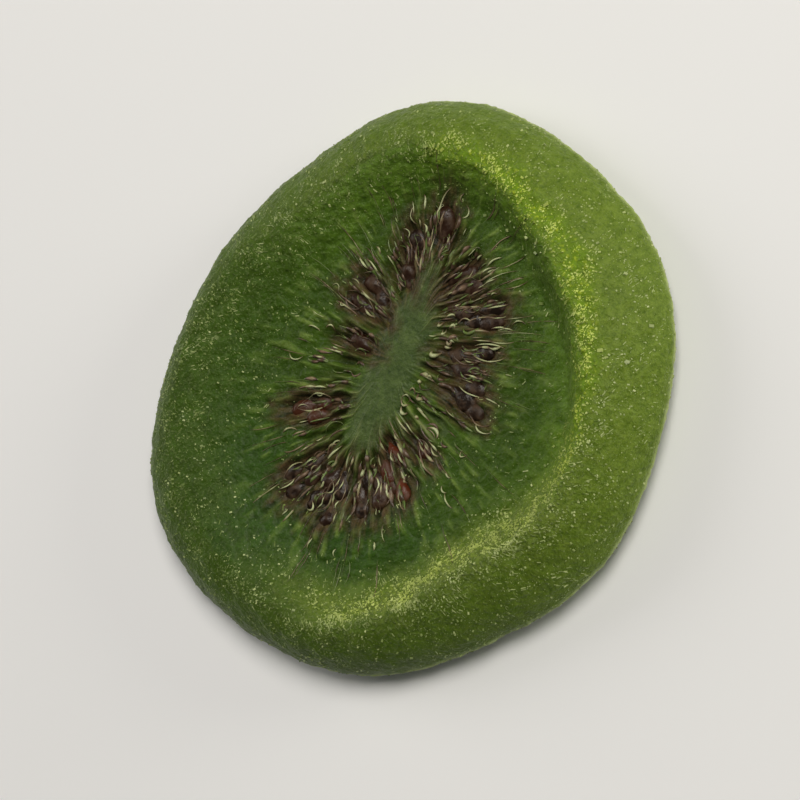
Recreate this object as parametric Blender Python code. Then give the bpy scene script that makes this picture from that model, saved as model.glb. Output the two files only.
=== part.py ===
"""One sugared, dried kiwi slice that lies flat with its dished face up.

Metres, +Z up. The slice rests on z = 0, its longest width runs along X, and the origin is under the
middle of its bounding box. A slice is thick at its rim, where the flesh is firm, and has sunk in the
middle, where it was wettest. Its face keeps the fruit's pattern: a pale oval core, a ring of pockets
that spread from it like a sun, and the seeds in those pockets.
"""

import math
import random

import bmesh
import bpy
from mathutils import Matrix, Vector

MM = 0.001

# Plan of the slice: a mean radius, and waves round it as (count, share of the radius, angle of a peak)
MEAN_RADIUS = 22.9 * MM
OUTLINE_WAVES = ((2, 0.070, 0), (3, 0.021, 43), (4, 0.005, -28), (6, 0.013, -22))

# The rim is highest and steepest towards this side, and low and gentle on the other
CURL_SIDE = -50
CREST_HEIGHT = 6.2 * MM
CREST_RISE = 0.9 * MM
CREST_SHARE = 0.80
CREST_SHIFT = 0.045
CREST_WAVE = 0.035
CREST_WAVE_COUNT = 4
CREST_WAVE_PEAK = -60
STEEP_SLOPE_SHARE = 0.13
GENTLE_SLOPE_SHARE = 0.22

# Heights of the sunken floor, of the widest line of the side wall, and of the hollow underneath
FLOOR_HEIGHT = 4.0 * MM
FLOOR_SAG = 0.5 * MM
WIDEST_HEIGHT = 1.9 * MM
WIDEST_RISE = 0.4 * MM
UNDER_HOLLOW = 0.5 * MM
FOOT_SHARE = 0.84
HOLLOW_SHARE = 0.50

# The cut face meets the side wall over a worn shoulder. The power is 1 for a straight bevel and 2 for
# an ellipse
SHOULDER_POWER = 1.6
UNDERCUT_POWER = 2.0

# Oval core and the ring of pockets round it, which is wider on one side
PATTERN_CENTRE = (1.6 * MM, 2.1 * MM)
PATTERN_TURN = 21
CORE_HALF_LENGTH = 7.9 * MM
CORE_HALF_WIDTH = 1.9 * MM
CORE_CROWN = 0.25 * MM
RING_WIDTH = 6.2 * MM
RING_WIDENING = 1.5 * MM
RING_WIDE_SIDE = -110
POCKET_COUNT = 36
POCKET_DEPTH = 0.45 * MM
SPOKE_REACH = 14.0 * MM

# Seeds lie in clusters. Each has the turn of its middle round the core, its spread to each side, its
# nearest and farthest distance from the core, and a count
SEED_CLUSTERS = (
    (9, 1, 3.4 * MM, 4.0 * MM, 1),
    (39, 8, 1.0 * MM, 2.9 * MM, 4),
    (70, 7, 0.8 * MM, 3.2 * MM, 4),
    (88, 3, 1.4 * MM, 1.9 * MM, 1),
    (123, 5, 2.8 * MM, 5.4 * MM, 3),
    (153, 5, 3.2 * MM, 6.6 * MM, 5),
    (175, 8, 2.4 * MM, 6.0 * MM, 6),
    (203, 12, 2.2 * MM, 4.8 * MM, 5),
    (225, 5, 2.0 * MM, 6.2 * MM, 4),
    (243, 1, 3.8 * MM, 4.0 * MM, 1),
    (270, 4, 4.4 * MM, 7.2 * MM, 3),
    (282, 5, 2.4 * MM, 5.2 * MM, 5),
    (300, 5, 2.2 * MM, 5.2 * MM, 4),
    (324, 9, 1.2 * MM, 3.2 * MM, 6),
)
SEED_SPACING = 1.1 * MM
SEED_TRIES = 60
SEED_YAW = 20
RANDOM_SEED = 11

# One seed is a drop with its point towards the core. Sizes vary, and the lone seed at one end is larger
SEED_LENGTH = 2.5 * MM
SEED_WIDTH = 1.35 * MM
SEED_HEIGHT = 0.9 * MM
SEED_SCALE = (0.8, 1.15)
LONE_SEED_SCALE = 1.35
SEED_SIDES = 6
SEED_RINGS = 4
SEED_POINT = 0.45

# Mesh density
SPOKES_PER_POCKET = 3
SPOKES = POCKET_COUNT * SPOKES_PER_POCKET
CORE_RINGS = 3
POCKET_RINGS = 8
FLOOR_RINGS = 2
SLOPE_RINGS = 6
SHOULDER_RINGS = 5
UNDERCUT_RINGS = 3
LEAST_STRETCH = 0.2

FLESH_COLOUR = (0.075, 0.130, 0.020, 1.0)


def clear_scene():
    for old in list(bpy.data.objects):
        bpy.data.objects.remove(old)


def smooth_step(value):
    value = min(1.0, max(0.0, value))
    return value * value * (3 - 2 * value)


def curl(angle):
    """1 on the side where the rim curls up, and -1 on the opposite one."""
    return math.cos(angle - math.radians(CURL_SIDE))


def outline_radius(angle):
    """The slice's greatest reach in a direction from its middle."""
    waves = sum(share * math.cos(count * (angle - math.radians(peak))) for count, share, peak in OUTLINE_WAVES)
    return MEAN_RADIUS * (1 + waves)


def crest_share(angle):
    """Where the top of the rim lies, as a share of the outline's radius."""
    wave = math.cos(CREST_WAVE_COUNT * (angle - math.radians(CREST_WAVE_PEAK)))
    return CREST_SHARE - CREST_SHIFT * curl(angle) + CREST_WAVE * wave


def crest_height(angle):
    return CREST_HEIGHT + CREST_RISE * curl(angle)


def slope_share(angle):
    """How far the inner slope reaches in from the crest: short where the rim curls up."""
    away = (1 - curl(angle)) / 2
    return STEEP_SLOPE_SHARE + GENTLE_SLOPE_SHARE * away * away


def dish_height(x, y):
    """Height of the top face without its pockets, out to the crest."""
    angle = math.atan2(y, x)
    share = math.hypot(x, y) / outline_radius(angle)
    start = crest_share(angle) - slope_share(angle)
    floor = FLOOR_HEIGHT - FLOOR_SAG * (1 - min(1.0, share / start) ** 2)
    up_slope = smooth_step((share - start) / slope_share(angle))
    return floor + (crest_height(angle) - floor) * up_slope


def pattern_point(turn, half_length, half_width):
    """A point of an oval round the core. Turn is the angle in the oval's own frame."""
    tilt = math.radians(PATTERN_TURN)
    along = half_length * math.cos(turn)
    across = half_width * math.sin(turn)
    return (
        PATTERN_CENTRE[0] + along * math.cos(tilt) - across * math.sin(tilt),
        PATTERN_CENTRE[1] + along * math.sin(tilt) + across * math.cos(tilt),
    )


def ring_point(turn, offset):
    """A point on a spoke, at this distance out from the edge of the core."""
    return pattern_point(turn, CORE_HALF_LENGTH + offset, CORE_HALF_WIDTH + offset)


def spoke_heading(turn):
    """The direction from the middle in which a spoke meets the rim."""
    x, y = ring_point(turn, SPOKE_REACH)
    return math.atan2(y, x)


def ring_width(turn):
    return RING_WIDTH + RING_WIDENING * math.cos(spoke_heading(turn) - math.radians(RING_WIDE_SIDE))


def pocket_relief(turn, offset):
    """Pockets between thin membranes, deepest in the middle of the ring."""
    across = math.cos(POCKET_COUNT * turn)
    along = math.sin(math.pi * min(1.0, max(0.0, offset / ring_width(turn))))
    return POCKET_DEPTH * along * (across - 0.5) / 1.5


def core_rings(turns):
    """Rings of the core, from the inside out. The centre point is added apart."""
    for step in range(1, CORE_RINGS + 1):
        share = step / CORE_RINGS
        ring = []
        for turn in turns:
            x, y = pattern_point(turn, CORE_HALF_LENGTH * share, CORE_HALF_WIDTH * share)
            ring.append(Vector((x, y, dish_height(x, y) + CORE_CROWN * (1 - share**2))))
        yield ring


def pocket_rings(turns):
    for step in range(1, POCKET_RINGS + 1):
        ring = []
        for turn in turns:
            offset = ring_width(turn) * step / POCKET_RINGS
            x, y = ring_point(turn, offset)
            ring.append(Vector((x, y, dish_height(x, y) + pocket_relief(turn, offset))))
        yield ring


def rim_point(angle, share):
    reach = share * outline_radius(angle)
    return Vector((reach * math.cos(angle), reach * math.sin(angle)))


def flesh_point(turn, floor_part, slope_part):
    """A point of the top face between the pockets and the crest.

    The first share is spent on the floor, up to the foot of the rim, and the second on its slope.
    """
    angle = spoke_heading(turn)
    edge = Vector(ring_point(turn, ring_width(turn)))
    crest = rim_point(angle, crest_share(angle))
    foot_reach = (crest_share(angle) - slope_share(angle)) * outline_radius(angle)
    foot = (foot_reach - edge.length) / (crest.length - edge.length)
    foot = min(1 - LEAST_STRETCH, max(LEAST_STRETCH, foot))
    x, y = edge.lerp(crest, foot * floor_part + (1 - foot) * slope_part)
    return Vector((x, y, dish_height(x, y)))


def floor_rings(turns):
    for step in range(1, FLOOR_RINGS + 1):
        yield [flesh_point(turn, step / FLOOR_RINGS, 0) for turn in turns]


def slope_rings(turns):
    for step in range(1, SLOPE_RINGS + 1):
        yield [flesh_point(turn, 1, step / SLOPE_RINGS) for turn in turns]


def corner_curve(step, count, power):
    """Shares (across, up) along a quarter of a rounded corner that starts level and ends upright."""
    angle = math.pi / 2 * step / count
    return math.sin(angle) ** (2 / power), math.cos(angle) ** (2 / power)


def wall_point(angle, share, height):
    return Vector((*rim_point(angle, share), height))


def widest_height(angle):
    return WIDEST_HEIGHT + WIDEST_RISE * curl(angle)


def shoulder_rings(turns):
    """From the crest out and down to the widest line of the side wall."""
    for step in range(1, SHOULDER_RINGS + 1):
        across, up = corner_curve(step, SHOULDER_RINGS, SHOULDER_POWER)
        ring = []
        for angle in map(spoke_heading, turns):
            low = widest_height(angle)
            share = crest_share(angle) + (1 - crest_share(angle)) * across
            ring.append(wall_point(angle, share, low + (crest_height(angle) - low) * up))
        yield ring


def undercut_rings(turns):
    """From the widest line down and in to the flat foot."""
    for step in range(1, UNDERCUT_RINGS + 1):
        up, across = corner_curve(step, UNDERCUT_RINGS, UNDERCUT_POWER)
        ring = []
        for angle in map(spoke_heading, turns):
            share = FOOT_SHARE + (1 - FOOT_SHARE) * across
            ring.append(wall_point(angle, share, widest_height(angle) * (1 - up)))
        yield ring


def hollow_rings(turns):
    """The inner edge of the flat foot."""
    yield [wall_point(angle, HOLLOW_SHARE, 0.0) for angle in map(spoke_heading, turns)]


def bridge_rings(mesh, rings, top, bottom):
    """Closes a body from rings that run from the top's centre out, down and in to the bottom's centre."""
    loops = [[mesh.verts.new(point) for point in ring] for ring in rings]
    top_centre = mesh.verts.new(top)
    bottom_centre = mesh.verts.new(bottom)
    count = len(loops[0])
    for index in range(count):
        after = (index + 1) % count
        mesh.faces.new((top_centre, loops[0][index], loops[0][after]))
        mesh.faces.new((bottom_centre, loops[-1][after], loops[-1][index]))
        for inner, outer in zip(loops, loops[1:]):
            mesh.faces.new((inner[index], outer[index], outer[after], inner[after]))


def new_object(name, mesh, collection):
    data = bpy.data.meshes.new(name)
    mesh.to_mesh(data)
    mesh.free()
    made = bpy.data.objects.new(name, data)
    collection.objects.link(made)
    return made


def make_body():
    turns = [2 * math.pi * index / SPOKES for index in range(SPOKES)]
    parts = (core_rings, pocket_rings, floor_rings, slope_rings, shoulder_rings, undercut_rings, hollow_rings)
    rings = [ring for part in parts for ring in part(turns)]
    x, y = PATTERN_CENTRE
    mesh = bmesh.new()
    bridge_rings(mesh, rings, (x, y, dish_height(x, y) + CORE_CROWN), (0.0, 0.0, UNDER_HOLLOW))
    return new_object("dried_kiwi_slice", mesh, bpy.context.scene.collection)


def seed_places():
    """(turn, offset, yaw, scale) of each seed, drawn at random in its cluster, clear of those before it."""
    draw = random.Random(RANDOM_SEED)
    taken = []
    for middle, spread, nearest, farthest, count in SEED_CLUSTERS:
        for _ in range(count):
            for _ in range(SEED_TRIES):
                turn = math.radians(middle + draw.uniform(-spread, spread))
                offset = draw.uniform(nearest, farthest)
                place = Vector(ring_point(turn, offset))
                if all((place - other).length > SEED_SPACING for other in taken):
                    scale = draw.uniform(*SEED_SCALE) if taken else LONE_SEED_SCALE
                    taken.append(place)
                    yield turn, offset, draw.uniform(-SEED_YAW, SEED_YAW), scale
                    break


def make_seed(collection, turn, offset, yaw, scale):
    """A drop-shaped seed, half sunk in its pocket with its point towards the core."""
    mesh = bmesh.new()
    bmesh.ops.create_uvsphere(mesh, u_segments=SEED_SIDES, v_segments=SEED_RINGS, radius=0.5)
    for vertex in mesh.verts:
        along = vertex.co.z
        narrow = 1 + SEED_POINT * along
        shape = (along * SEED_LENGTH, vertex.co.y * SEED_WIDTH * narrow, vertex.co.x * SEED_HEIGHT * narrow)
        vertex.co = Vector(shape) * scale
    half = SEED_LENGTH * scale / 2
    x, y = ring_point(turn, offset)
    x_out, y_out = ring_point(turn, offset + half)
    x_in, y_in = ring_point(turn, offset - half)
    height = dish_height(x, y) + pocket_relief(turn, offset)
    outward = Vector((x_out - x_in, y_out - y_in, dish_height(x_out, y_out) - dish_height(x_in, y_in)))
    upright = outward.to_track_quat("X", "Z").to_matrix().to_4x4()
    mesh.transform(Matrix.Translation((x, y, height)) @ upright @ Matrix.Rotation(math.radians(yaw), 4, "Z"))
    return new_object("seed", mesh, collection)


def join_seeds(body):
    """Fuses the seeds to the flesh, so that the slice is one solid."""
    seeds = bpy.data.collections.new("seeds")
    bpy.context.scene.collection.children.link(seeds)
    for place in seed_places():
        make_seed(seeds, *place)
    union = body.modifiers.new("seeds", "BOOLEAN")
    union.operation = "UNION"
    union.operand_type = "COLLECTION"
    union.collection = seeds
    union.solver = "EXACT"
    bpy.context.view_layer.update()
    joined = bpy.data.meshes.new_from_object(body.evaluated_get(bpy.context.evaluated_depsgraph_get()))
    body.modifiers.remove(union)
    body.data = joined
    for seed in list(seeds.objects):
        bpy.data.objects.remove(seed)
    bpy.data.collections.remove(seeds)


def centre_over_origin(body):
    """Moves the mesh so that the middle of its plan is over the origin."""
    xs = [vertex.co.x for vertex in body.data.vertices]
    ys = [vertex.co.y for vertex in body.data.vertices]
    body.data.transform(Matrix.Translation((-(min(xs) + max(xs)) / 2, -(min(ys) + max(ys)) / 2, 0.0)))


def flesh_material():
    material = bpy.data.materials.new("kiwi_flesh")
    material.use_nodes = True
    shader = material.node_tree.nodes["Principled BSDF"]
    shader.inputs["Base Color"].default_value = FLESH_COLOUR
    shader.inputs["Roughness"].default_value = 0.55
    shader.inputs["Metallic"].default_value = 0.0
    return material


def main():
    clear_scene()
    body = make_body()
    join_seeds(body)
    centre_over_origin(body)
    body.data.shade_smooth()
    body.data.materials.clear()
    body.data.materials.append(flesh_material())


main()
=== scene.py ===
"""Looks of one slice of dried kiwi, soaked in syrup, dried and dusted with fine sugar.

The slice lies flat with its dished face up. Its flesh is one closed skin, worked out in rings from
the oval core to the rim, down the side and back along the underside. Seeds, fibres and sugar are laid
on it by Geometry Nodes. Lengths are in millimetres until a mesh is made, which is in metres.
"""

import math
import random

import bpy
import numpy as np
from mathutils import Matrix, Vector, noise
from mathutils.bvhtree import BVHTree


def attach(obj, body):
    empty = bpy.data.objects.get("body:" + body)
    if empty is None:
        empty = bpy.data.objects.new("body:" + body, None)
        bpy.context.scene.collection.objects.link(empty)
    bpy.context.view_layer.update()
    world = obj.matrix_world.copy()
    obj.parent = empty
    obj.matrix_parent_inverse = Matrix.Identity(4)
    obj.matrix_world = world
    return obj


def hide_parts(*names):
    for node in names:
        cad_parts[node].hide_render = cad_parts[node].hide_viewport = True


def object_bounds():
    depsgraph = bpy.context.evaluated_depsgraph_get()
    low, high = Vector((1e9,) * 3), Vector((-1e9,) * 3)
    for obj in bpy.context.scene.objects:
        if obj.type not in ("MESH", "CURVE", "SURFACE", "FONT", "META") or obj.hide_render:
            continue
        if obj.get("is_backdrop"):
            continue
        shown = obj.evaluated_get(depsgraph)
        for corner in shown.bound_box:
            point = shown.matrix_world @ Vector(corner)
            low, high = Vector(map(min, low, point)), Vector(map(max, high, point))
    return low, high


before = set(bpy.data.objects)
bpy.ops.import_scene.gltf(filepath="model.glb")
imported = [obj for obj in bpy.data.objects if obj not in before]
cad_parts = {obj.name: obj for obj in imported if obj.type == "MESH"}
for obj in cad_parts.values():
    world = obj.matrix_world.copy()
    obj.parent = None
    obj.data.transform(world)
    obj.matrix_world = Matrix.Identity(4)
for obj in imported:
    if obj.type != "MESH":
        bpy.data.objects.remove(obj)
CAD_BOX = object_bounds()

MM = 0.001
NODE = "dried_kiwi_slice"
BODY = "root"
RANDOM_SEED = 11

# Plan of the slice: a mean radius, and waves round it as (count, share of the radius, angle of a peak)
MEAN_RADIUS = 22.9
OUTLINE_WAVES = ((2, 0.070, 0), (3, 0.021, 43), (4, 0.005, -28), (6, 0.013, -22))

# The rim is highest and steepest towards this side, and low and gentle on the other
CURL_SIDE = -50
CREST_HEIGHT = 6.2
CREST_RISE = 0.9
CREST_SHARE = 0.80
CREST_SHIFT = 0.045
CREST_WAVE = 0.035
CREST_WAVE_COUNT = 4
CREST_WAVE_PEAK = -60
STEEP_SLOPE_SHARE = 0.13
GENTLE_SLOPE_SHARE = 0.22

# Heights of the sunken floor, of the widest line of the side wall, and of the hollow underneath
FLOOR_HEIGHT = 4.0
FLOOR_SAG = 0.5
WIDEST_HEIGHT = 1.9
WIDEST_RISE = 0.4
UNDER_HOLLOW = 0.5
FOOT_SHARE = 0.84
HOLLOW_SHARE = 0.55
SHOULDER_POWER = 1.6
UNDERCUT_POWER = 2.0

# Oval core and the ring of pockets round it, which is wider on one side
PATTERN_CENTRE = (1.6, 2.1)
PATTERN_TURN = 21
CORE_HALF_LENGTH = 7.9
CORE_HALF_WIDTH = 1.9
CORE_CROWN = 0.25
RING_WIDTH = 6.2
RING_WIDENING = 1.5
RING_WIDE_SIDE = -110
SPOKE_REACH = 14.0
MID_RING = 3.0

# Seeds lie in clusters. Each has the turn of its middle round the core, its spread to each side, its
# nearest and farthest distance from the core, a count, and a tone from dark brown (0) to red (1)
SEED_CLUSTERS = (
    (9, 1, 3.4, 4.0, 1, 0.35),
    (39, 8, 1.0, 2.9, 4, 0.2),
    (70, 7, 0.8, 3.2, 4, 0.3),
    (88, 3, 1.4, 1.9, 1, 0.3),
    (123, 5, 2.8, 5.4, 3, 0.6),
    (153, 5, 3.2, 6.6, 5, 0.1),
    (175, 8, 2.4, 6.0, 6, 0.1),
    (203, 12, 2.2, 4.8, 5, 0.2),
    (225, 5, 2.0, 6.2, 4, 0.75),
    (243, 1, 3.8, 4.0, 1, 0.7),
    (270, 4, 4.4, 7.2, 3, 0.15),
    (282, 5, 2.4, 5.2, 5, 0.05),
    (300, 5, 2.2, 5.2, 4, 0.05),
    (324, 9, 1.2, 3.2, 6, 0.3),
)
SEED_SPACING = 1.1
SEED_TRIES = 60
SEED_YAW = 20
SEED_LENGTH = 2.5
SEED_WIDTH = 1.35
SEED_HEIGHT = 0.9
SEED_POINT = 0.45
SEED_DENT = 0.7
SEED_SCALE = (0.8, 1.15)
LONE_SEED_SCALE = 1.35
SEED_MOTTLE = 0.2
SEED_LIFT = -0.2
SEED_HOLLOW = 0.5
STAIN_REACH = 1.2
STAIN_WAVER = 0.45

# The brown tissue spreads thinly over the ring, except towards these turns: (turn, width, share left)
GREEN_GAPS = ((105, 14, 0.3), (140, 10, 0.5), (257, 18, 0.1))
THIN_STAIN = 0.55

# Pockets, and the membranes between them
POCKET_COUNT = 40
POCKET_UNEVENNESS = 0.3
POCKET_DEPTH = (0.2, 0.8)
POCKET_START = (0.0, 0.9)
POCKET_REACH = (0.55, 1.0)
POCKET_SHOULDER = 0.35
MEMBRANE_HALF_WIDTH = 0.12
MEMBRANE_HEIGHT = 0.20
MEMBRANE_STRENGTH = (0.1, 1.0)
MEMBRANE_START = (-0.6, 1.4)
MEMBRANE_REACH = (0.35, 1.0)
WAVER_SIZE = 2.0
WAVER = 0.6
CORE_FINGER = 0.9
UNDERSIDE_RELIEF = 0.35

# Fine fibres in the flesh: their spacing round the ring, how much longer than wide they are, and how
# far past the ring they run
FIBRE_SPACING = 0.3
FIBRE_STRETCH = 6.0
RAY_REACH = 8.0
RAY_HEIGHT = 0.08

# Wisps of membrane that stand out of the flesh. Each kind has a count, its turns from and to, where it
# starts as shares of the ring's width, its length, its radius, how far it bends, its height and its tones
WISP_KINDS = (
    (110, (0, 360), (0.0, 0.85), (0.8, 2.2), (0.03, 0.11), 0.22, 0.15, (0.2, 0.85)),
    (60, (0, 360), (0.5, 1.15), (0.5, 1.6), (0.03, 0.10), 0.25, 0.30, (0.85, 1.2)),
    (80, (0, 360), (0.7, 1.3), (1.5, 4.0), (0.02, 0.04), 0.15, 0.05, (0.1, 0.7)),
    (22, (268, 328), (0.3, 1.05), (0.8, 4.2), (0.02, 0.075), 0.22, 0.10, (0.6, 1.15)),
    (22, (248, 305), (0.0, 0.35), (0.3, 1.0), (0.05, 0.17), 0.30, 0.25, (0.75, 1.1)),
    (120, (0, 360), (0.05, 0.75), (0.8, 2.2), (0.08, 0.19), 0.22, 0.05, (0.28, 0.5)),
    (45, (150, 255), (0.0, 0.6), (0.6, 1.9), (0.04, 0.13), 0.30, 0.20, (0.65, 1.05)),
)
WISP_POINTS = 9
WISP_SIDES = 5
WISP_MOTTLE = 0.35
WISP_KNOTS = 0.6

# Sheaths part from some seeds' sides. Their length, bend and start are shares of the seed's own size
SHEATH_CHANCE = 0.25
SHEATH_LENGTH = (0.5, 1.4)
SHEATH_BEND = (0.35, 0.6)
SHEATH_START = (0.0, 0.6)
SHEATH_RADIUS = (0.04, 0.10)
SHEATH_LIFT = 0.15
SHEATH_TONES = (0.35, 0.95)

# How thick sugar has settled: all over, more towards one side, on the crest, and past it on the high side
FROST_SIDE = 140
FROST_LEAST = 0.12
FROST_TO_SIDE = 0.15
FROST_ON_CREST = 0.35
FROST_PAST_CREST = 0.08

# The side wall counts as lying this far out from the core
FAR_OFFSET = 40.0

# The outer band is paler, and painted lightest towards one side as painted light; the sunken face has painted
# shade, darkest towards another side. Each has a share of that tone elsewhere. The slope between them has
# painted light in two arcs, and a higher power makes an arc narrower
BAND_SIDE, BAND_LEAST, BAND_POWER = -25, 0.15, 1.2
SHADE_SIDE, SHADE_LEAST = 25, 0.25
FLANK_SIDE, FLANK_POWER = -50, 7
TOP_FLANK_SIDE, TOP_FLANK_POWER = 44, 8

# The ridge, its crust and the sugar fade in up the side wall from this height
LOW_WALL = 1.3
LOW_WALL_FADE = 1.0

# The ridge of the rim, painted with a glow as if light shone through it: its widths inwards and outwards as
# shares of the radius, how far out of the crest its middle lies at some angles, the angles that it fades in
# and out between, its least strength in its uneven patches, and how much the crust hides of it
RIDGE_WIDTHS = (0.07, 0.04)
RIDGE_WAVER = 0.03
RIDGE_ANGLES = (-160, -110, -60, -37, -10, 25, 90)
RIDGE_SHIFTS = (-0.075, -0.05, -0.03, 0.02, 0.07, 0.01, -0.05)
RIDGE_START = (26, 44)
RIDGE_END = (-170, -125)
RIDGE_LEAST = 0.65
RIDGE_HIDDEN = 0.35

# Sugary crust on the crest: its width as a share of the radius, how strong it is beyond its own stretch,
# and the angles that it fades between
CRUST_WIDTH = 0.08
CRUST_LEAST = 0.1
CRUST_START = (-180, -125)
CRUST_END = (-85, -50)

# The pale line painted where light would come through the thin lower edge. It faces this side and is lowest
# there
EDGE_SIDE = -52
EDGE_DROP = 0.16
EDGE_WIDTH = 0.45

# Patches of painted shade on the face, where less sugar settles too, as (x, y, size)
SHADE_PATCHES = (
    (-12.0, 5.0, 3.5),
    (-15.5, 0.5, 3.0),
    (-12.5, -4.5, 3.0),
    (-10.5, -8.0, 3.0),
    (-7.0, -11.0, 2.5),
    (-18.0, 1.0, 2.5),
)

# Rings and columns of the skin's mesh
COLUMNS = 512
TOP_RINGS = (10, 48, 78)
SHOULDER_RINGS = 32
UNDERCUT_RINGS = 8
UNDERSIDE_RINGS = (2, 6, 6)

# How lumpy the ridge is, how much more where its glow is painted, and how lumpy the skin outside it is
GRIT_LEAST = 0.2
GRIT_GLOWING = 0.4
GRIT_OUTSIDE = 0.07

# The floor lies a hair under the flat foot, so that the two don't share a plane
FLOOR_GAP = 0.02

# The camera stands off to the right and above, turned so that the slice's long side is upright
CAMERA_AZIMUTH = 38
CAMERA_ELEVATION = 64
PICTURE_UP = 48
CAMERA_DISTANCE = 0.215
CAMERA_TARGET_HEIGHT = 3.0


# The shape that the slice shares with its solid


def smooth_step(value):
    value = np.clip(value, 0.0, 1.0)
    return value * value * (3 - 2 * value)


def window(value, rise, fall):
    """0 outside and 1 inside, with a smooth rise and fall given as (start, end)."""
    up = smooth_step((value - rise[0]) / (rise[1] - rise[0]))
    return up * (1 - smooth_step((value - fall[0]) / (fall[1] - fall[0])))


def bump(value, width):
    return np.exp(-((value / width) ** 2))


def curl(angle):
    """1 on the side where the rim curls up, and -1 on the opposite one."""
    return np.cos(angle - math.radians(CURL_SIDE))


def side_share(angle, side):
    """1 towards this side of the slice, and less and less round to 0 on the opposite one."""
    return (1 + np.cos(angle - math.radians(side))) / 2


def outline_radius(angle):
    waves = sum(share * np.cos(count * (angle - math.radians(peak))) for count, share, peak in OUTLINE_WAVES)
    return MEAN_RADIUS * (1 + waves)


def crest_share(angle):
    wave = np.cos(CREST_WAVE_COUNT * (angle - math.radians(CREST_WAVE_PEAK)))
    return CREST_SHARE - CREST_SHIFT * curl(angle) + CREST_WAVE * wave


def crest_height(angle):
    return CREST_HEIGHT + CREST_RISE * curl(angle)


def slope_share(angle):
    away = (1 - curl(angle)) / 2
    return STEEP_SLOPE_SHARE + GENTLE_SLOPE_SHARE * away * away


def dish_height(x, y):
    """Height of the top face without its pockets, out to the crest."""
    angle = np.arctan2(y, x)
    share = np.hypot(x, y) / outline_radius(angle)
    start = crest_share(angle) - slope_share(angle)
    floor = FLOOR_HEIGHT - FLOOR_SAG * (1 - np.minimum(1.0, share / start) ** 2)
    up_slope = smooth_step((share - start) / slope_share(angle))
    return floor + (crest_height(angle) - floor) * up_slope


def underside_height(x, y):
    share = np.hypot(x, y) / outline_radius(np.arctan2(y, x))
    return UNDER_HOLLOW * smooth_step(1 - share / HOLLOW_SHARE)


def widest_height(angle):
    return WIDEST_HEIGHT + WIDEST_RISE * curl(angle)


def pattern_point(turn, half_length, half_width):
    """A point of an oval round the core. Turn is the angle in the oval's own frame."""
    tilt = math.radians(PATTERN_TURN)
    along = half_length * np.cos(turn)
    across = half_width * np.sin(turn)
    return (
        PATTERN_CENTRE[0] + along * math.cos(tilt) - across * math.sin(tilt),
        PATTERN_CENTRE[1] + along * math.sin(tilt) + across * math.cos(tilt),
    )


def ring_point(turn, offset):
    """A point on a spoke, at this distance out from the edge of the core."""
    return pattern_point(turn, CORE_HALF_LENGTH + offset, CORE_HALF_WIDTH + offset)


def spoke_heading(turn):
    x, y = ring_point(turn, SPOKE_REACH)
    return np.arctan2(y, x)


def ring_width(turn):
    return RING_WIDTH + RING_WIDENING * np.cos(spoke_heading(turn) - math.radians(RING_WIDE_SIDE))


def side_stretch(turn, offset):
    """Millimetres that a spoke moves sideways for each radian that it turns."""
    return np.hypot((CORE_HALF_LENGTH + offset) * np.sin(turn), (CORE_HALF_WIDTH + offset) * np.cos(turn))


def ring_lengths():
    """Turns round the core, and how many millimetres round the middle of the ring each one is."""
    turns = np.linspace(0, 2 * math.pi, 4 * COLUMNS + 1)
    steps = side_stretch(turns[:-1], MID_RING) * turns[1]
    return turns, np.concatenate(([0.0], np.cumsum(steps)))


def even_turns(shares):
    """Turns that divide the middle of the ring of pockets by length instead of by angle."""
    turns, lengths = ring_lengths()
    return np.interp(shares, lengths / lengths[-1], turns)


def ring_share(turn):
    """How far round the middle of the ring a turn is, from 0 to 1."""
    turns, lengths = ring_lengths()
    return np.interp(np.mod(turn, 2 * math.pi), turns, lengths / lengths[-1])


def spoke_space(turn, offset):
    """Places the ring of pockets round a tube, where a pattern follows the spokes without a seam."""
    length = ring_lengths()[1][-1]
    around = 2 * math.pi * ring_share(turn)
    radius = length / (2 * math.pi)
    return radius * np.cos(around), radius * np.sin(around), offset / FIBRE_STRETCH


# The skin: rings of points, and the weights that colour them


def face_plan(turns, ring_counts, edge_share):
    """Rings of a cut face, from the core's middle out to a share of the outline, as (x, y, offset)."""
    core_rings, pocket_rings, flesh_rings = ring_counts
    rings = []
    for share in np.arange(1, core_rings + 1) / core_rings:
        x, y = pattern_point(turns, CORE_HALF_LENGTH * share, CORE_HALF_WIDTH * share)
        rings.append((x, y, np.full_like(turns, CORE_HALF_WIDTH * (share - 1))))
    width = ring_width(turns)
    for share in np.arange(1, pocket_rings + 1) / pocket_rings:
        rings.append((*ring_point(turns, width * share), width * share))
    angle = spoke_heading(turns)
    inner_x, inner_y = ring_point(turns, width)
    reach = edge_share * outline_radius(angle)
    outer_x, outer_y = reach * np.cos(angle), reach * np.sin(angle)
    span = np.hypot(outer_x - inner_x, outer_y - inner_y)
    for share in np.arange(1, flesh_rings + 1) / flesh_rings:
        x = inner_x + (outer_x - inner_x) * share
        y = inner_y + (outer_y - inner_y) * share
        rings.append((x, y, width + span * share))
    return rings


def corner_curve(step, count, power):
    """Shares (across, up) along a quarter of a rounded corner that starts level and ends upright."""
    angle = math.pi / 2 * step / count
    return math.sin(angle) ** (2 / power), math.cos(angle) ** (2 / power)


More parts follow.
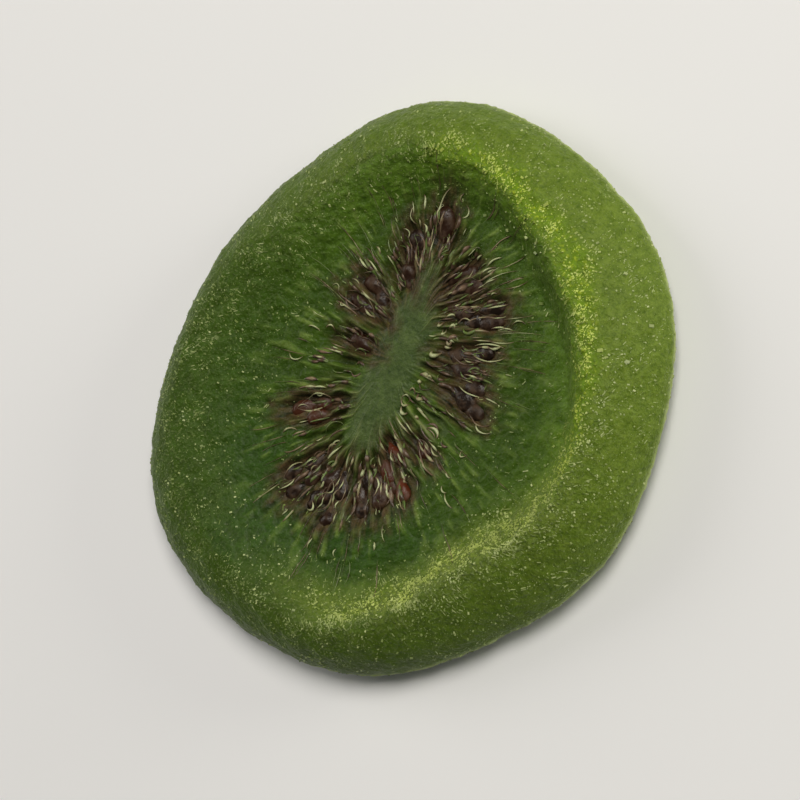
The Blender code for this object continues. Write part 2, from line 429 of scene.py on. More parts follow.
def wall_rings(turns):
    """Rings (x, y, z) from the crest out, down the side, and in under it to the flat foot."""
    angle = spoke_heading(turns)
    crest, low = crest_share(angle), widest_height(angle)
    profile = []
    for step in range(1, SHOULDER_RINGS + 1):
        across, up = corner_curve(step, SHOULDER_RINGS, SHOULDER_POWER)
        profile.append((crest + (1 - crest) * across, low + (crest_height(angle) - low) * up))
    for step in range(1, UNDERCUT_RINGS):
        down, across = corner_curve(step, UNDERCUT_RINGS, UNDERCUT_POWER)
        profile.append((FOOT_SHARE + (1 - FOOT_SHARE) * across, low * (1 - down)))
    for share, height in profile:
        reach = share * outline_radius(angle)
        yield reach * np.cos(angle), reach * np.sin(angle), height


def ripple(x, y, z, size):
    """Smooth noise, from -1 to 1, whose bumps are this many millimetres apart."""
    places = zip(np.ravel(x) / size, np.ravel(y) / size, np.ravel(z) / size)
    return np.array([noise.noise(place) for place in places]).reshape(np.shape(x))


def pocket_pattern(turn, offset, x, y):
    """Weights of the ring's pockets and membranes, and the relief that they make."""
    draw = np.random.default_rng(RANDOM_SEED)
    starts = np.arange(POCKET_COUNT) + draw.uniform(-POCKET_UNEVENNESS, POCKET_UNEVENNESS, POCKET_COUNT)
    edges = np.concatenate((starts, [starts[0] + POCKET_COUNT])) / POCKET_COUNT
    depths = draw.uniform(*POCKET_DEPTH, POCKET_COUNT)
    openings = draw.uniform(*POCKET_START, POCKET_COUNT)
    reaches = draw.uniform(*POCKET_REACH, POCKET_COUNT)
    strengths = np.resize(draw.uniform(*MEMBRANE_STRENGTH, POCKET_COUNT), POCKET_COUNT + 1)
    wall_starts = np.resize(draw.uniform(*MEMBRANE_START, POCKET_COUNT), POCKET_COUNT + 1)
    wall_reaches = np.resize(draw.uniform(*MEMBRANE_REACH, POCKET_COUNT), POCKET_COUNT + 1)

    # The spokes waver sideways a little, and each point falls between two membranes
    sideways = WAVER * ripple(x, y, np.zeros_like(x), WAVER_SIZE)
    place = ring_share(turn + sideways / side_stretch(turn, np.maximum(offset, 0.0)))
    place = np.where(place < edges[0], place + 1, place)
    pocket = np.clip(np.searchsorted(edges, place, side="right") - 1, 0, POCKET_COUNT - 1)
    share = (place - edges[pocket]) / (edges[pocket + 1] - edges[pocket])
    length_here = side_stretch(turn, offset) / side_stretch(turn, MID_RING)
    width = (edges[pocket + 1] - edges[pocket]) * ring_lengths()[1][-1] * length_here
    to_edge = np.minimum(share, 1 - share) * width

    ring = ring_width(turn)
    span = window(
        offset,
        (openings[pocket] - 0.2, openings[pocket] + 0.6),
        (ring * reaches[pocket] - 1.2, ring * reaches[pocket] + 0.4),
    )
    hollow = span * smooth_step((to_edge - MEMBRANE_HALF_WIDTH) / POCKET_SHOULDER)
    wall = pocket + (share > 0.5)
    along_wall = window(
        offset,
        (wall_starts[wall] - 0.4, wall_starts[wall] + 0.6),
        (ring * wall_reaches[wall] - 1.5, ring * wall_reaches[wall]),
    )
    membrane = strengths[wall] * along_wall * bump(to_edge, MEMBRANE_HALF_WIDTH)
    relief = MEMBRANE_HEIGHT * membrane - depths[pocket] * hollow
    return hollow * depths[pocket] / POCKET_DEPTH[1], membrane, relief


def ray_pattern(turn, offset):
    """Fine pale fibres that run outwards from the pockets through the flesh."""
    lines = ripple(*spoke_space(turn, offset), FIBRE_SPACING)
    ring = ring_width(turn)
    fade = window(offset, (-1.2, 0.8), (ring - 1.0, ring + RAY_REACH))
    return fade * smooth_step((lines - 0.1) / 0.35)


def thin_stain(turn, offset):
    """Weight of the brown tissue that spreads between the clusters of seeds."""
    ring = ring_width(turn)
    stain = THIN_STAIN * window(offset, (0.2, 1.6), (0.5 * ring, 0.95 * ring))
    for middle, width, left in GREEN_GAPS:
        aside = np.mod(turn - math.radians(middle) + math.pi, 2 * math.pi) - math.pi
        stain = stain * (1 - (1 - left) * bump(aside, math.radians(width)))
    return stain


def seed_beds(x, y, thin_stain):
    """Weights of the hollows that the seeds lie in, and of the brown tissue, thickest round them."""
    hollow, stain = np.zeros_like(x), thin_stain
    ragged = STAIN_WAVER * ripple(x, y, np.zeros_like(x), 0.7)
    for turn, offset, _, scale, _ in seed_places():
        here = ring_point(turn, offset)
        further = ring_point(turn, offset + 1.0)
        step = math.dist(here, further)
        out_x, out_y = (further[0] - here[0]) / step, (further[1] - here[1]) / step
        along = (x - here[0]) * out_x + (y - here[1]) * out_y
        aside = (x - here[0]) * out_y - (y - here[1]) * out_x
        reach = np.hypot(along / (SEED_LENGTH * scale), aside / (SEED_WIDTH * scale))
        hollow = np.maximum(hollow, 1 - smooth_step((reach - 0.4) / 0.4))
        stain = np.maximum(stain, 1 - smooth_step((reach + ragged - 0.4) / STAIN_REACH))
    return hollow, stain


def skin_rings():
    """The whole skin as arrays of one row for each ring: x, y, z, turn, offset, and 1 above to -1 below."""
    turns = even_turns(np.arange(COLUMNS) / COLUMNS)
    rows = []
    for x, y, offset in face_plan(turns, TOP_RINGS, crest_share(spoke_heading(turns))):
        rows.append((x, y, dish_height(x, y), turns, offset, np.ones_like(x)))
    far = np.full_like(turns, FAR_OFFSET)
    for x, y, z in wall_rings(turns):
        rows.append((x, y, z, turns, far, np.zeros_like(x)))
    for x, y, offset in reversed(face_plan(turns, UNDERSIDE_RINGS, FOOT_SHARE)):
        rows.append((x, y, underside_height(x, y), turns, offset, -np.ones_like(x)))
    return [np.array(column) for column in zip(*rows)]


def skin_weights(x, y, z, turn, offset, face):
    """Adds the relief to z, and returns it with the weights that the flesh's material reads."""
    angle = np.arctan2(y, x)
    share = np.hypot(x, y) / outline_radius(angle)
    on_face = np.abs(face)
    pocket, membrane, relief = pocket_pattern(turn, offset, x, y)
    hollow, stain = seed_beds(x, y, thin_stain(turn, offset))
    core_edge = CORE_FINGER * ripple(*spoke_space(turn, offset), 0.8)
    core = on_face * (1 - smooth_step((offset - core_edge + 0.2) / 1.3))
    ray = on_face * ray_pattern(turn, offset)
    crown = CORE_CROWN * np.clip(-offset / CORE_HALF_WIDTH, 0, 1) ** 0.5
    lift = relief * (1 - 0.6 * hollow) - SEED_HOLLOW * hollow + RAY_HEIGHT * ray + crown
    z = z + np.where(face > 0, lift, 0) - np.where(face < 0, UNDERSIDE_RELIEF * relief, 0)

    # The ridge with its painted glow, its crust, and the painted pale line of light low on the side wall
    crest = crest_share(angle)
    past_crest = share - crest
    top = (face >= 0).astype(float)
    flat = np.zeros_like(x)
    waver = RIDGE_WAVER * ripple(x, y, flat, 3.0)
    degrees = np.degrees(np.mod(angle - math.pi / 2, 2 * math.pi) - 1.5 * math.pi)
    off_ridge = past_crest - np.interp(degrees, RIDGE_ANGLES, RIDGE_SHIFTS) + waver
    low_wall = smooth_step((z - LOW_WALL) / LOW_WALL_FADE)
    ridge = bump(off_ridge, np.where(off_ridge < 0, *RIDGE_WIDTHS)) * low_wall
    patches = smooth_step((ripple(x, y, flat, 1.5) + 0.35) / 0.6)
    glow_side = window(degrees, RIDGE_END, RIDGE_START)
    glow = ridge * glow_side
    pale_end = window(degrees, CRUST_START, CRUST_END)
    crust = bump(off_ridge, CRUST_WIDTH) * low_wall * top * (CRUST_LEAST + (1 - CRUST_LEAST) * pale_end)
    rim = top * glow * (RIDGE_LEAST + (1 - RIDGE_LEAST) * patches) * (1 - RIDGE_HIDDEN * pale_end)
    facing = np.cos(angle - math.radians(EDGE_SIDE))
    line = widest_height(angle) * (1 - EDGE_DROP * np.maximum(facing, 0))
    edge = bump(z - line, EDGE_WIDTH) * smooth_step((facing + 0.7) / 0.5) * (face == 0)

    # The band outside the ridge and the slope inside it, with painted light, and the sunken face with painted
    # shade
    outer = smooth_step((past_crest + 0.04) / 0.08)
    foot = crest - slope_share(angle)
    sunlit = BAND_LEAST + (1 - BAND_LEAST) * side_share(angle, BAND_SIDE) ** BAND_POWER
    shaded = SHADE_LEAST + (1 - SHADE_LEAST) * side_share(angle, SHADE_SIDE)
    # Painted light on the slope inside the ridge, in two arcs
    flank_light = side_share(angle, FLANK_SIDE) ** FLANK_POWER
    flank_light = flank_light * window(share, (foot - 0.17, foot + 0.04), (foot + 0.12, foot + 0.30))
    top_flank_light = side_share(angle, TOP_FLANK_SIDE) ** TOP_FLANK_POWER
    top_flank_light = top_flank_light * window(share, (foot, foot + 0.08), (crest, crest + 0.1))

    # Patches of painted shade, where less sugar settles
    shade_patch = sum(0.9 * bump(np.hypot(x - left, y - low), size) for left, low, size in SHADE_PATCHES)
    settled = frost_weight(angle, share, past_crest, offset, face) * low_wall
    lumpy = ridge * np.maximum(GRIT_LEAST + GRIT_GLOWING * glow_side, pale_end)
    weights = {
        "core": core,
        "pocket": pocket * on_face,
        "membrane": membrane * on_face * (1 - 0.5 * hollow),
        "ray": ray,
        "stain": stain * on_face,
        "sunken": on_face * (1 - smooth_step((share - foot + 0.06) / 0.14)) * shaded,
        "shade_patch": on_face * shade_patch,
        "flank_light": (face > 0) * (flank_light + top_flank_light),
        "rim": rim,
        "crust": crust,
        "band": outer * sunlit,
        "edge": edge,
        "grit": np.clip(lumpy + GRIT_OUTSIDE * outer * low_wall * top, 0, 1),
        "frost": np.clip(settled * (1 - 0.8 * shade_patch) + 0.8 * crust, 0, 1),
        "skin": smooth_step((offset - ring_width(turn) * 0.7) / 3.0) * np.where(face < 0, 0.5, 1.0),
    }
    return z, weights


def frost_weight(angle, share, past_crest, offset, face):
    """Where sugar has settled: thick on the rim and the low side, thin in the moist middle."""
    low_side = side_share(angle, FROST_SIDE) * smooth_step((share - 0.35) / 0.4)
    high_side = side_share(angle, CURL_SIDE) * smooth_step(past_crest / 0.06)
    crest = bump(past_crest, 0.07) * smooth_step((past_crest + 0.06) / 0.06)
    thick = FROST_LEAST + FROST_TO_SIDE * low_side + FROST_ON_CREST * crest + FROST_PAST_CREST * high_side
    inner = smooth_step((offset - 1.0) / 8.0)
    return np.clip(thick * inner, 0, 1) * (face >= 0)


def close_skin(columns, rings):
    """Faces of a closed skin whose first and last rings meet in a point each."""
    faces = []
    first_pole, last_pole = rings * columns, rings * columns + 1
    for column in range(columns):
        after = (column + 1) % columns
        faces.append((first_pole, column, after))
        last = (rings - 1) * columns
        faces.append((last_pole, last + after, last + column))
        for ring in range(rings - 1):
            low, high = ring * columns, (ring + 1) * columns
            faces.append((low + column, high + column, high + after, low + after))
    return faces


def make_skin():
    x, y, z, turn, offset, face = skin_rings()
    z, weights = skin_weights(x, y, z, turn, offset, face)
    fields = {name: values[..., np.newaxis] for name, values in weights.items()}
    fields["spoke"] = np.stack(spoke_space(turn, offset), axis=-1)
    points = close_poles(np.stack((x, y, z), axis=-1))
    middle = (points[:, :2].min(axis=0) + points[:, :2].max(axis=0)) / 2
    points[:, :2] -= middle
    mesh = bpy.data.meshes.new("flesh")
    mesh.from_pydata((points * MM).tolist(), [], close_skin(COLUMNS, len(x)))
    write_fields(mesh, {name: close_poles(values) for name, values in fields.items()})
    return mesh, middle


def close_poles(field):
    """One row for each point of the rings, and one for each pole: the mean of the ring beside it."""
    poles = np.stack((field[0].mean(axis=0), field[-1].mean(axis=0)))
    return np.concatenate((field.reshape(-1, field.shape[-1]), poles))


def write_fields(mesh, fields):
    """Gives the points of a mesh named attributes, of one number or three for each point."""
    for name, values in fields.items():
        rows = np.reshape(values, (len(mesh.vertices), -1))
        kind, slot = ("FLOAT", "value") if rows.shape[1] == 1 else ("FLOAT_VECTOR", "vector")
        layer = mesh.attributes.new(name, kind, "POINT")
        layer.data.foreach_set(slot, np.ravel(rows).astype(np.float32))


# Node trees


def feed(tree, node, inputs):
    """Gives inputs a value each, or another node's output. A node stands for its first output in use."""
    for name, value in inputs.items():
        if isinstance(value, bpy.types.Node):
            value = next(output for output in value.outputs if output.enabled)
        if isinstance(value, bpy.types.NodeSocket):
            tree.links.new(value, node.inputs[name])
        else:
            node.inputs[name].default_value = value


def add(tree, kind, inputs=None, **settings):
    """Adds a node with its settings, and gives each input a value or a link."""
    made = tree.nodes.new(kind)
    for name, value in settings.items():
        setattr(made, name, value)
    feed(tree, made, inputs or {})
    return made


def linear(code):
    """An sRGB hex colour as linear red, green, blue and alpha."""
    parts = [int(code[place : place + 2], 16) / 255 for place in (1, 3, 5)]
    return (*(part / 12.92 if part <= 0.04045 else ((part + 0.055) / 1.055) ** 2.4 for part in parts), 1.0)


def new_material(name):
    material = bpy.data.materials.new(name)
    material.use_nodes = True
    tree = material.node_tree
    return material, tree, tree.nodes["Principled BSDF"]


def lay_over(tree, colour, weight, strength, shade):
    """Lays a shade over a colour, as strongly as one of the flesh's weights says."""
    reading = add(tree, "ShaderNodeAttribute", attribute_name=weight).outputs["Fac"]
    share = add(tree, "ShaderNodeMath", {0: reading, 1: strength}, operation="MULTIPLY", use_clamp=True)
    return add(tree, "ShaderNodeMix", {"Factor": share, "A": colour, "B": shade}, data_type="RGBA")


def colour_by_tone(tree, first, last, between):
    """Colours picked by each seed's, wisp's or crystal's own tone. Those between have a place each."""
    tone = add(tree, "ShaderNodeAttribute", attribute_name="tone").outputs["Fac"]
    ramp = add(tree, "ShaderNodeValToRGB", {"Fac": tone})
    start, end = ramp.color_ramp.elements
    start.color, end.color = linear(first), linear(last)
    for place, code in between.items():
        ramp.color_ramp.elements.new(place).color = linear(code)
    return ramp


def new_growth(name, labels, others=None):
    """A Geometry Nodes tree with named inputs: numbers, others by their kinds, and a material."""
    tree = bpy.data.node_groups.new(name, "GeometryNodeTree")
    tree.interface.new_socket("Geometry", in_out="OUTPUT", socket_type="NodeSocketGeometry")
    tree.interface.new_socket("Geometry", in_out="INPUT", socket_type="NodeSocketGeometry")
    kinds = dict.fromkeys(labels, "Float") | (others or {}) | {"Material": "Material"}
    for label, kind in kinds.items():
        tree.interface.new_socket(label, in_out="INPUT", socket_type=f"NodeSocket{kind}")
    return tree, add(tree, "NodeGroupInput").outputs


def push_out(tree, geometry, height):
    """Moves each point out along its normal by this height."""
    normal = add(tree, "GeometryNodeInputNormal")
    push = add(tree, "ShaderNodeVectorMath", {0: normal, "Scale": height}, operation="SCALE")
    return add(tree, "GeometryNodeSetPosition", {"Geometry": geometry, "Offset": push})


def end_growth(tree, given, geometry):
    """Makes the tree's geometry real, gives it its material, and hands it out."""
    real = add(tree, "GeometryNodeRealizeInstances", {0: geometry})
    done = add(tree, "GeometryNodeSetMaterial", {"Geometry": real, "Material": given["Material"]})
    add(tree, "NodeGroupOutput", {0: done})
    return tree


def grow(name, mesh, tree, values):
    """Runs a tree on a mesh, and returns the result as an object with a plain mesh."""
    made = bpy.data.objects.new(name, mesh)
    bpy.context.scene.collection.objects.link(made)
    modifier = made.modifiers.new(tree.name, "NODES")
    modifier.node_group = tree
    for item in tree.interface.items_tree:
        if item.in_out == "INPUT" and item.name in values:
            modifier[item.identifier] = values[item.name]
    graph = bpy.context.evaluated_depsgraph_get()
    result = bpy.data.meshes.new_from_object(
        made.evaluated_get(graph), preserve_all_data_layers=True, depsgraph=graph
    )
    made.modifiers.remove(modifier)
    made.data = result
    result.name = name
    return made


def dress(piece):
    """Hangs a finished piece on the slice's body, and hides the solid that it stands for."""
    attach(piece, BODY)
    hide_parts(NODE)


def skin_tree():
    """Wrinkles, pores and lumps, pushed out along the skin wherever its weights allow, over a flat foot."""
    # Each has a texture, the weight that allows it, the texture's mean value, and 1 where high values stand
    # out or -1 where they sink in
    kinds = {
        "Wrinkle": ("ShaderNodeTexNoise", "skin", 0.5, 1.0),
        "Pore": ("ShaderNodeTexNoise", "skin", 0.5, 1.0),
        "Lump": ("ShaderNodeTexVoronoi", "grit", 0.55, -1.0),
    }
    labels = [f"{kind} {measure}" for kind in kinds for measure in ("Size", "Depth")]
    tree, given = new_growth("shrivelled_skin", labels)
    height = 0.0
    for kind, (texture, weight_name, mean, sign) in kinds.items():
        scale = add(tree, "ShaderNodeMath", {0: 1.0, 1: given[f"{kind} Size"]}, operation="DIVIDE")
        waves = add(tree, texture, {"Scale": scale, "Detail": 2.0})
        centred = add(tree, "ShaderNodeMath", {0: waves, 1: sign, 2: -sign * mean}, operation="MULTIPLY_ADD")
        weight = add(tree, "GeometryNodeInputNamedAttribute", {"Name": weight_name}, data_type="FLOAT")
        eased = add(tree, "ShaderNodeMath", {0: centred, 1: weight}, operation="MULTIPLY")
        depth = given[f"{kind} Depth"]
        height = add(tree, "ShaderNodeMath", {0: eased, 1: depth, 2: height}, operation="MULTIPLY_ADD")
    moved = push_out(tree, given["Geometry"], height)
    place = add(tree, "GeometryNodeInputPosition")
    floor = add(tree, "ShaderNodeVectorMath", {0: place, 1: (-1.0, -1.0, 0.0)}, operation="MAXIMUM")
    seated = add(tree, "GeometryNodeSetPosition", {"Geometry": moved, "Position": floor})
    return end_growth(tree, given, add(tree, "GeometryNodeSetShadeSmooth", {0: seated}))


# Layers of colour over the plain flesh: the weight that places it, its dark and pale shades, how
# strongly it covers, and the pattern that mixes the two shades
FLESH_LAYERS = (
    # painted light: the band's layer is palest towards one side
    ("band", "#4c6310", "#7d9338", 0.85, "speckle"),
    # painted shade over the sunken face, darkest towards one side
    ("sunken", "#273d0b", "#425b16", 0.82, "grain"),
    # painted shade in dark patches of the face
    ("shade_patch", "#22390d", "#35541a", 0.9, "grain"),
    # painted light on the slope inside the ridge, in two arcs
    ("flank_light", "#3a5610", "#65862a", 0.68, "grain"),
    # painted glow along the ridge, as if light shone through it
    ("rim", "#688812", "#c6d63e", 0.95, "beads"),
    ("crust", "#415717", "#8b9b4a", 0.8, "speckle"),
    ("ray", "#4c6820", "#82984a", 0.7, "fibres"),
    ("core", "#374826", "#586a3b", 0.95, "grain"),
    ("pocket", "#142106", "#435622", 0.9, "fibres"),
    ("stain", "#150c08", "#56412e", 0.92, "fibres"),
    ("membrane", "#56662f", "#94966a", 0.75, "fibres"),
    # painted line of light low on the side wall
    ("edge", "#9cb058", "#c4d28c", 0.85, "grain"),
)

# The flesh's patterns: a texture, what it is laid out by, the size of its features, its detail and
# roughness, and the values at which it reads 0 and 1
FLESH_PATTERNS = {
    "mottle": ("ShaderNodeTexNoise", "place", 2.2 * MM, 6.0, 0.78, 0.36, 0.64),
    "grain": ("ShaderNodeTexNoise", "place", 1.2 * MM, 5.0, 0.85, 0.35, 0.65),
    "speckle": ("ShaderNodeTexNoise", "place", 0.7 * MM, 5.0, 0.95, 0.36, 0.66),
    "powder": ("ShaderNodeTexNoise", "place", 0.24 * MM, 2.0, 0.5, 0.52, 0.68),
    "beads": ("ShaderNodeTexVoronoi", "place", 0.55 * MM, 2.0, 0.5, 0.75, 0.15),
    "fibres": ("ShaderNodeTexNoise", "spoke", FIBRE_SPACING, 4.0, 0.6, 0.38, 0.66),
}

# Sugar too fine to see as crystals: the size of its grit, and how well it covers the flesh
ROUGH_SIZE = 0.35
DUST_COVER = 0.7


def flesh_material():
    """Fruit jelly: kiwi flesh soaked in syrup and dried. Light sinks in and comes out green."""
    material, tree, shader = new_material("candied_kiwi_flesh")
    place = add(tree, "ShaderNodeTexCoord").outputs["Object"]
    spoke = add(tree, "ShaderNodeAttribute", attribute_name="spoke").outputs["Vector"]
    patterns = {}
    for name, (kind, where, size, detail, roughness, low, high) in FLESH_PATTERNS.items():
        laid_out = spoke if where == "spoke" else place
        look = {"Vector": laid_out, "Scale": 1 / size, "Detail": detail, "Roughness": roughness}
        limits = {"Value": add(tree, kind, look), "From Min": low, "From Max": high}
        patterns[name] = add(tree, "ShaderNodeMapRange", limits)

    plain = {"Factor": patterns["mottle"], "A": linear("#293f09"), "B": linear("#395613")}
    colour = add(tree, "ShaderNodeMix", plain, data_type="RGBA")
    for weight, dark, pale, strength, pattern in FLESH_LAYERS:
        shades = {"Factor": patterns[pattern], "A": linear(dark), "B": linear(pale)}
        shade = add(tree, "ShaderNodeMix", shades, data_type="RGBA")
        colour = lay_over(tree, colour, weight, strength, shade)

    # The finest sugar pales the flesh, dulls its shine and roughens it
    frost = add(tree, "ShaderNodeAttribute", attribute_name="frost").outputs["Fac"]
    dusted = add(tree, "ShaderNodeMath", {0: patterns["powder"], 1: frost}, operation="MULTIPLY")
    cover = add(tree, "ShaderNodeMath", {0: dusted, 1: DUST_COVER}, operation="MULTIPLY", use_clamp=True)
    dusty = {"Factor": cover, "A": colour, "B": linear("#83955a")}
    rough = add(tree, "ShaderNodeTexNoise", {"Vector": place, "Scale": 1 / (ROUGH_SIZE * MM), "Detail": 3.0})
    powdered = add(tree, "ShaderNodeMath", {0: rough, 1: dusted}, operation="ADD")
    grit = add(tree, "ShaderNodeAttribute", attribute_name="grit").outputs["Fac"]
    beaded = {0: patterns["beads"], 1: grit, 2: powdered}
    height = add(tree, "ShaderNodeMath", beaded, operation="MULTIPLY_ADD")
    look = {
        "Base Color": add(tree, "ShaderNodeMix", dusty, data_type="RGBA"),
        "Roughness": add(tree, "ShaderNodeMapRange", {"Value": frost, "To Min": 0.36, "To Max": 0.62}),
        "IOR": 1.46,
        "Specular IOR Level": 0.15,
        "Subsurface Weight": 0.15,
        "Subsurface Radius": (0.5, 0.8, 0.15),
        "Subsurface Scale": 1.0 * MM,
        "Sheen Weight": 0.12,
        "Sheen Roughness": 0.35,
        "Sheen Tint": linear("#d6e6a8"),
        "Normal": add(tree, "ShaderNodeBump", {"Height": height, "Strength": 0.9, "Distance": 0.15 * MM}),
    }
    feed(tree, shader, look)
    return material


def make_flesh():
    mesh, middle = make_skin()
    values = {
        "Wrinkle Size": 2.6 * MM,
        "Wrinkle Depth": 0.45 * MM,
        "Pore Size": 0.6 * MM,
        "Pore Depth": 0.34 * MM,
        "Lump Size": 1.1 * MM,
        "Lump Depth": 0.75 * MM,
        "Material": flesh_material(),
    }
    flesh = grow("flesh", mesh, skin_tree(), values)
    dress(flesh)
    return flesh, middle


# Seeds


def seed_places():
    """(turn, offset, yaw, scale, tone) of each seed, drawn at random in its cluster, clear of the others."""
    draw, shade = random.Random(RANDOM_SEED), random.Random(RANDOM_SEED + 1)
    taken = []
    for middle, spread, nearest, farthest, count, tone in SEED_CLUSTERS:
        for _ in range(count):
            for _ in range(SEED_TRIES):
                turn = math.radians(middle + draw.uniform(-spread, spread))
                offset = draw.uniform(nearest, farthest)
                place = Vector(ring_point(turn, offset))
                if all((place - other).length > SEED_SPACING for other in taken):
                    scale = draw.uniform(*SEED_SCALE) if taken else LONE_SEED_SCALE
                    taken.append(place)
                    yaw = draw.uniform(-SEED_YAW, SEED_YAW)
                    yield turn, offset, yaw, scale, tone + shade.uniform(-SEED_MOTTLE, SEED_MOTTLE)
                    break


class Ground:
    """Finds the top of finished pieces under a point of the plan, in millimetres."""

    def __init__(self, pieces, middle):
        points, faces = [], []
        for piece in pieces:
            first = len(points)
            points += [vertex.co / MM for vertex in piece.data.vertices]
            faces += [[first + corner for corner in face.vertices] for face in piece.data.polygons]
        self.tree = BVHTree.FromPolygons(points, faces)
        self.middle = Vector((*middle, 0.0))

    def under(self, x, y):
        """The point there, where x and y are counted before the slice is centred."""
        above = Vector((x, y, 20.0)) - self.middle
        return self.tree.ray_cast(above, Vector((0, 0, -1)))[0]


def seed_points(ground):
    """One point for each seed, with its turn, size and tone as attributes."""
    points, turns, sizes, tones = [], [], [], []
    for turn, offset, yaw, scale, tone in seed_places():
        half = SEED_LENGTH * scale / 3
        place = ground.under(*ring_point(turn, offset))
        near = ground.under(*ring_point(turn, offset - half))
        far = ground.under(*ring_point(turn, offset + half))
        lean = (far - near).to_track_quat("X", "Z").to_matrix() @ Matrix.Rotation(math.radians(yaw), 3, "Z")
        points.append((place + Vector((0, 0, SEED_LIFT))) * MM)
        turns.append(lean.to_euler())
        sizes.append(scale)
        tones.append(tone)
    mesh = bpy.data.meshes.new("seed_points")
    mesh.from_pydata(points, [], [])
    write_fields(mesh, {"turn": turns, "size": sizes, "tone": tones})
    return mesh


def seed_tree():
    """A drop-shaped seed on each point, turned and sized by the point's attributes."""
    tree, given = new_growth("seeds_on_points", ("Length", "Width", "Height", "Point", "Dent"))
    ball = add(tree, "GeometryNodeMeshUVSphere", {"Segments": 16, "Rings": 10, "Radius": 0.5})
    where = add(tree, "ShaderNodeSeparateXYZ", {0: add(tree, "GeometryNodeInputPosition")}).outputs
    # The ball's poles become the seed's two ends, and one end is drawn out to a point
    drawn_out = {0: where["Z"], 1: given["Point"], 2: 1.0}
    taper = add(tree, "ShaderNodeMath", drawn_out, operation="MULTIPLY_ADD")
    shaped = {"X": add(tree, "ShaderNodeMath", {0: where["Z"], 1: given["Length"]}, operation="MULTIPLY")}
    for axis, value, size in (("Y", "Y", "Width"), ("Z", "X", "Height")):
        scaled = add(tree, "ShaderNodeMath", {0: where[value], 1: given[size]}, operation="MULTIPLY")
        shaped[axis] = add(tree, "ShaderNodeMath", {0: scaled, 1: taper}, operation="MULTIPLY")
    outline = add(tree, "ShaderNodeCombineXYZ", shaped)
    drop = add(tree, "GeometryNodeSetPosition", {"Geometry": ball, "Position": outline})
    turn = add(tree, "GeometryNodeInputNamedAttribute", {"Name": "turn"}, data_type="FLOAT_VECTOR")
    rotation = add(tree, "FunctionNodeEulerToRotation", {0: turn})
    size = add(tree, "GeometryNodeInputNamedAttribute", {"Name": "size"}, data_type="FLOAT")
    lay = {"Points": given["Geometry"], "Instance": drop, "Rotation": rotation, "Scale": size}
    real = add(tree, "GeometryNodeRealizeInstances", {0: add(tree, "GeometryNodeInstanceOnPoints", lay)})
    dents = add(tree, "ShaderNodeTexNoise", {"Scale": 1 / (0.9 * MM), "Detail": 2.0})
    centred = add(tree, "ShaderNodeMath", {0: dents, 1: 0.5}, operation="SUBTRACT")
    height = add(tree, "ShaderNodeMath", {0: centred, 1: given["Dent"]}, operation="MULTIPLY")
    dented = push_out(tree, real, height)
    return end_growth(tree, given, add(tree, "GeometryNodeSetShadeSmooth", {0: dented}))


def seed_material():
    """Seed coat: a hard, dark shell under shreds of brown pulp, glossy with syrup, redder on some seeds."""
    material, tree, shader = new_material("kiwi_seed_coat")
    shell = colour_by_tone(tree, "#1a0f08", "#5c2a15", {0.5: "#321c10"})
    place = add(tree, "ShaderNodeTexCoord").outputs["Object"]
    shreds = add(tree, "ShaderNodeTexNoise", {"Vector": place, "Scale": 1 / (0.7 * MM), "Detail": 4.0})
    limits = {"Value": shreds, "From Min": 0.45, "From Max": 0.64, "To Max": 0.8}
    cover = add(tree, "ShaderNodeMapRange", limits)
    coat = {"Factor": cover, "A": shell, "B": linear("#463322")}
    look = {
        "Base Color": add(tree, "ShaderNodeMix", coat, data_type="RGBA"),
        "Roughness": add(tree, "ShaderNodeMapRange", {"Value": cover, "To Min": 0.32, "To Max": 0.7}),
        "Specular IOR Level": 0.3,
        "Normal": add(tree, "ShaderNodeBump", {"Height": shreds, "Strength": 0.9, "Distance": 0.18 * MM}),
    }
    feed(tree, shader, look)
    return material


def make_seeds(ground):
    values = {
        "Length": SEED_LENGTH * MM,
        "Width": SEED_WIDTH * MM,
        "Height": SEED_HEIGHT * MM,
        "Point": SEED_POINT * 2,
        "Dent": SEED_DENT * MM,
        "Material": seed_material(),
    }
    seeds = grow("seeds", seed_points(ground), seed_tree(), values)
    dress(seeds)
    return seeds


# Wisps: dried membrane that stands up between and round the seeds


def wisp_plans():
    """(turn, offset, length, bend, radius, lift, tone) of every wisp. Bend is to one side, at its middle."""
    draw = random.Random(RANDOM_SEED + 2)
    for count, turns, starts, lengths, radii, bend, lift, tones in WISP_KINDS:
        first, last = ring_share(np.radians(turns[0])), ring_share(np.radians(turns[1] - 0.01))
        last += last < first
        for _ in range(count):
            turn = float(even_turns(draw.uniform(first, last) % 1.0))
            offset = draw.uniform(*starts) * float(ring_width(turn))
            aside, height = draw.gauss(0, bend), draw.uniform(0, lift)
            length, radius, tone = draw.uniform(*lengths), draw.uniform(*radii), draw.uniform(*tones)
            yield turn, offset, length, aside, radius, height, tone
    # Sheaths that part from the sides of the seeds
    for turn, offset, _, scale, _ in seed_places():
        for side in (-1, 1):
            if draw.random() > SHEATH_CHANCE:
                continue
            length = SEED_LENGTH * scale * draw.uniform(*SHEATH_LENGTH)
            bend = side * SEED_WIDTH * scale * draw.uniform(*SHEATH_BEND)
            start = offset - SEED_LENGTH * scale * draw.uniform(*SHEATH_START)
            radius = draw.uniform(*SHEATH_RADIUS)
            yield turn, start, length, bend, radius, draw.uniform(0, SHEATH_LIFT), draw.uniform(*SHEATH_TONES)


